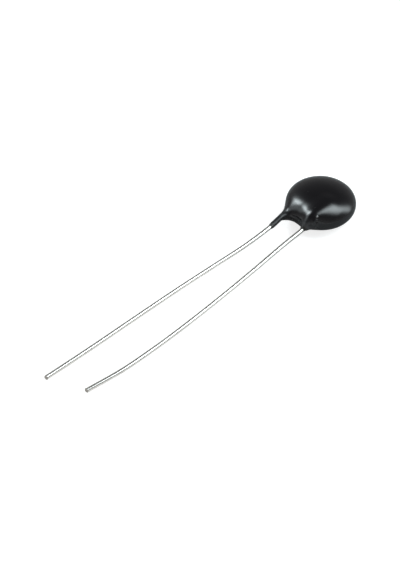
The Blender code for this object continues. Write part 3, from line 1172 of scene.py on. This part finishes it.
def soft_box_group():
    """A mask that falls from 1 inside a lamp to 0 at its edges."""
    if "Soft Box" in bpy.data.node_groups:
        return bpy.data.node_groups["Soft Box"]
    tree, given, out = node_group("Soft Box", (("Edge", "NodeSocketFloat", 1.0),), ("Mask",))
    places = add_node(tree, "ShaderNodeNewGeometry").outputs["Parametric"]
    across = add_node(tree, "ShaderNodeSeparateXYZ", Vector=places)
    inner = add_node(
        tree,
        "ShaderNodeMath",
        {"operation": "MULTIPLY_ADD"},
        _0=given.outputs["Edge"],
        _1=-0.5,
        _2=0.5,
    )
    sides = []
    for axis in (0, 1):
        middle = add_node(
            tree, "ShaderNodeMath", {"operation": "SUBTRACT"}, _0=across.outputs[axis], _1=0.5
        )
        away = add_node(tree, "ShaderNodeMath", {"operation": "ABSOLUTE"}, _0=middle.outputs[0])
        side = add_node(
            tree,
            "ShaderNodeMapRange",
            {"interpolation_type": "SMOOTHSTEP"},
            Value=away.outputs[0],
            From_Min=0.5,
            From_Max=inner.outputs[0],
        )
        sides.append(side.outputs[0])
    both = add_node(
        tree, "ShaderNodeMath", {"operation": "MULTIPLY"}, _0=sides[0], _1=sides[1]
    )
    tree.links.new(both.outputs[0], out.inputs["Mask"])
    return tree


def add_lamp(name, settings):
    """A soft box that faces the disc."""
    azimuth, elevation, half_width, half_height, level, edge = LAMPS[name]
    data = bpy.data.lights.new(name, "AREA")
    data.shape = "RECTANGLE"
    data.size = 2 * settings.lamp_distance * math.tan(math.radians(half_width))
    data.size_y = 2 * settings.lamp_distance * math.tan(math.radians(half_height))
    data.color = settings.lamp_colour
    data.energy = LAMP_POWER * level * data.size * data.size_y
    data.use_nodes = True
    tree = data.node_tree
    mask = use_group(tree, soft_box_group(), Edge=edge)
    tree.links.new(mask.outputs["Mask"], tree.nodes["Emission"].inputs["Color"])
    lamp = bpy.data.objects.new(name, data)
    bpy.context.scene.collection.objects.link(lamp)
    direction = toward(azimuth, elevation)
    lamp.location = Vector((DISC_X, 0, DISC_Z)) + direction * settings.lamp_distance
    lamp.rotation_euler = direction.to_track_quat("Z", "Y").to_euler()
    lamp.visible_camera = False


def floor_material(settings):
    """Pale paper that takes a shadow, with a glow that makes it white to the camera, and a glow in
    the gloss of the pieces that is held back at the disc as painted shade.
    """
    material = bpy.data.materials.new("floor_paper")
    material.use_nodes = True
    tree = material.node_tree
    tree.nodes.clear()
    paths = add_node(tree, "ShaderNodeLightPath")
    mirrored = add_node(
        tree,
        "ShaderNodeMath",
        {"operation": "MAXIMUM"},
        _0=paths.outputs["Is Glossy Ray"],
        _1=paths.outputs["Is Transmission Ray"],
    )
    straight = spread(tree, paths.outputs["Is Camera Ray"], 0.0, settings.floor_glow)
    place = add_node(tree, "ShaderNodeNewGeometry").outputs["Position"]
    along = add_node(tree, "ShaderNodeSeparateXYZ", Vector=place)
    # No glow in the gloss at the disc and on its far side, rising along the leads: painted shade
    # in the reflections at the disc.
    mirrored_glow_after_painted_shade = add_node(
        tree,
        "ShaderNodeMapRange",
        {"interpolation_type": "SMOOTHSTEP"},
        Value=along.outputs["X"],
        From_Min=DISC_X - PAINTED_SHADE_FADE_START,
        From_Max=DISC_X - PAINTED_SHADE_FADE_END,
        To_Max=settings.mirrored_glow,
    )
    strength = add_node(
        tree,
        "ShaderNodeMath",
        {"operation": "MULTIPLY_ADD"},
        _0=mirrored.outputs[0],
        _1=mirrored_glow_after_painted_shade.outputs[0],
        _2=straight,
    ).outputs[0]
    paper = add_node(tree, "ShaderNodeBsdfDiffuse", Color=(*settings.floor_colour, 1.0))
    glow = add_node(tree, "ShaderNodeEmission", Strength=strength)
    lit = add_node(tree, "ShaderNodeAddShader", _0=paper.outputs[0], _1=glow.outputs[0])
    clear = add_node(tree, "ShaderNodeBsdfTransparent")
    below = add_node(tree, "ShaderNodeNewGeometry").outputs["Backfacing"]
    mix = add_node(
        tree, "ShaderNodeMixShader", _0=below, _1=lit.outputs[0], _2=clear.outputs[0]
    )
    output = add_node(tree, "ShaderNodeOutputMaterial", Surface=mix.outputs[0])
    output.target = "ALL"
    return material


def dome_material():
    """A glow that fades from the horizon up to a dim ceiling."""
    material = bpy.data.materials.new("studio_dome")
    material.use_nodes = True
    tree = material.node_tree
    tree.nodes.clear()
    normal = add_node(tree, "ShaderNodeNewGeometry").outputs["Normal"]
    height = add_node(tree, "ShaderNodeSeparateXYZ", Vector=normal).outputs["Z"]
    upward = add_node(tree, "ShaderNodeMath", {"operation": "ABSOLUTE"}, _0=height)
    ramp = add_node(tree, "ShaderNodeValToRGB", Fac=upward.outputs[0])
    elements = ramp.color_ramp.elements
    while len(elements) < len(DOME_LEVELS):
        elements.new(0.5)
    for element, (position, level) in zip(elements, DOME_LEVELS):
        element.position = position
        element.color = (level, level, level, 1)
    glow = add_node(tree, "ShaderNodeEmission", Color=ramp.outputs[0])
    add_node(tree, "ShaderNodeOutputMaterial", Surface=glow.outputs[0])
    return material


def add_stage(name, shape, material):
    """Link a piece of the studio."""
    mesh = bpy.data.meshes.new(name)
    shape.to_mesh(mesh)
    shape.free()
    mesh.shade_smooth()
    mesh.materials.append(material)
    piece = bpy.data.objects.new(name, mesh)
    bpy.context.scene.collection.objects.link(piece)
    return piece


class THERMISTOR_OT_studio(bpy.types.Operator):
    """Add the floor, the dome, the soft boxes and the camera"""

    bl_idname = "thermistor.studio"
    bl_label = "Studio"

    def execute(self, context):
        settings = context.scene.thermistor_studio
        context.scene.view_settings.view_transform = "Standard"
        world = bpy.data.worlds.new("white_world")
        world.use_nodes = True
        world.node_tree.nodes["Background"].inputs["Color"].default_value = (1, 1, 1, 1)
        context.scene.world = world

        floor = bmesh.new()
        bmesh.ops.create_circle(
            floor, cap_ends=True, segments=FLOOR_SIDES, radius=settings.dome_radius
        )
        add_stage("studio_floor", floor, floor_material(settings))

        dome = bmesh.new()
        bmesh.ops.create_uvsphere(
            dome, u_segments=DOME_SIDES, v_segments=DOME_RINGS, radius=settings.dome_radius
        )
        below = [vert for vert in dome.verts if vert.co.z < DOME_CUT]
        bmesh.ops.delete(dome, geom=below, context="VERTS")
        shell = add_stage("studio_dome", dome, dome_material())
        shell.visible_camera = False
        shell.visible_shadow = False

        for name in LAMPS:
            add_lamp(name, settings)
        add_camera()
        return {"FINISHED"}


# Panel


class THERMISTOR_PT_panel(bpy.types.Panel):
    """Sizes and colours of the thermistor, and its pieces"""

    bl_idname = "THERMISTOR_PT_panel"
    bl_label = "Thermistor"
    bl_space_type = "VIEW_3D"
    bl_region_type = "UI"
    bl_category = "Thermistor"

    def draw(self, context):
        for operator, settings in GROUPS.items():
            box = self.layout.box()
            holder = getattr(context.scene, f"thermistor_{operator}")
            for name in settings.__annotations__:
                box.prop(holder, name)
            box.operator(f"thermistor.{operator}")


GROUPS = {
    "coating": CoatingSettings,
    "leads": LeadSettings,
    "inner": InnerSettings,
    "studio": StudioSettings,
}
CLASSES = (
    *GROUPS.values(),
    THERMISTOR_OT_coating,
    THERMISTOR_OT_leads,
    THERMISTOR_OT_inner,
    THERMISTOR_OT_studio,
    THERMISTOR_PT_panel,
)


def register():
    for cls in CLASSES:
        bpy.utils.register_class(cls)
    for name, settings in GROUPS.items():
        setattr(bpy.types.Scene, f"thermistor_{name}", PointerProperty(type=settings))


def unregister():
    for name in GROUPS:
        delattr(bpy.types.Scene, f"thermistor_{name}")
    for cls in reversed(CLASSES):
        bpy.utils.unregister_class(cls)


def main():
    register()
    bpy.ops.thermistor.coating()
    bpy.ops.thermistor.leads()
    bpy.ops.thermistor.inner()
    bpy.ops.thermistor.studio()


if __name__ == "__main__":
    main()
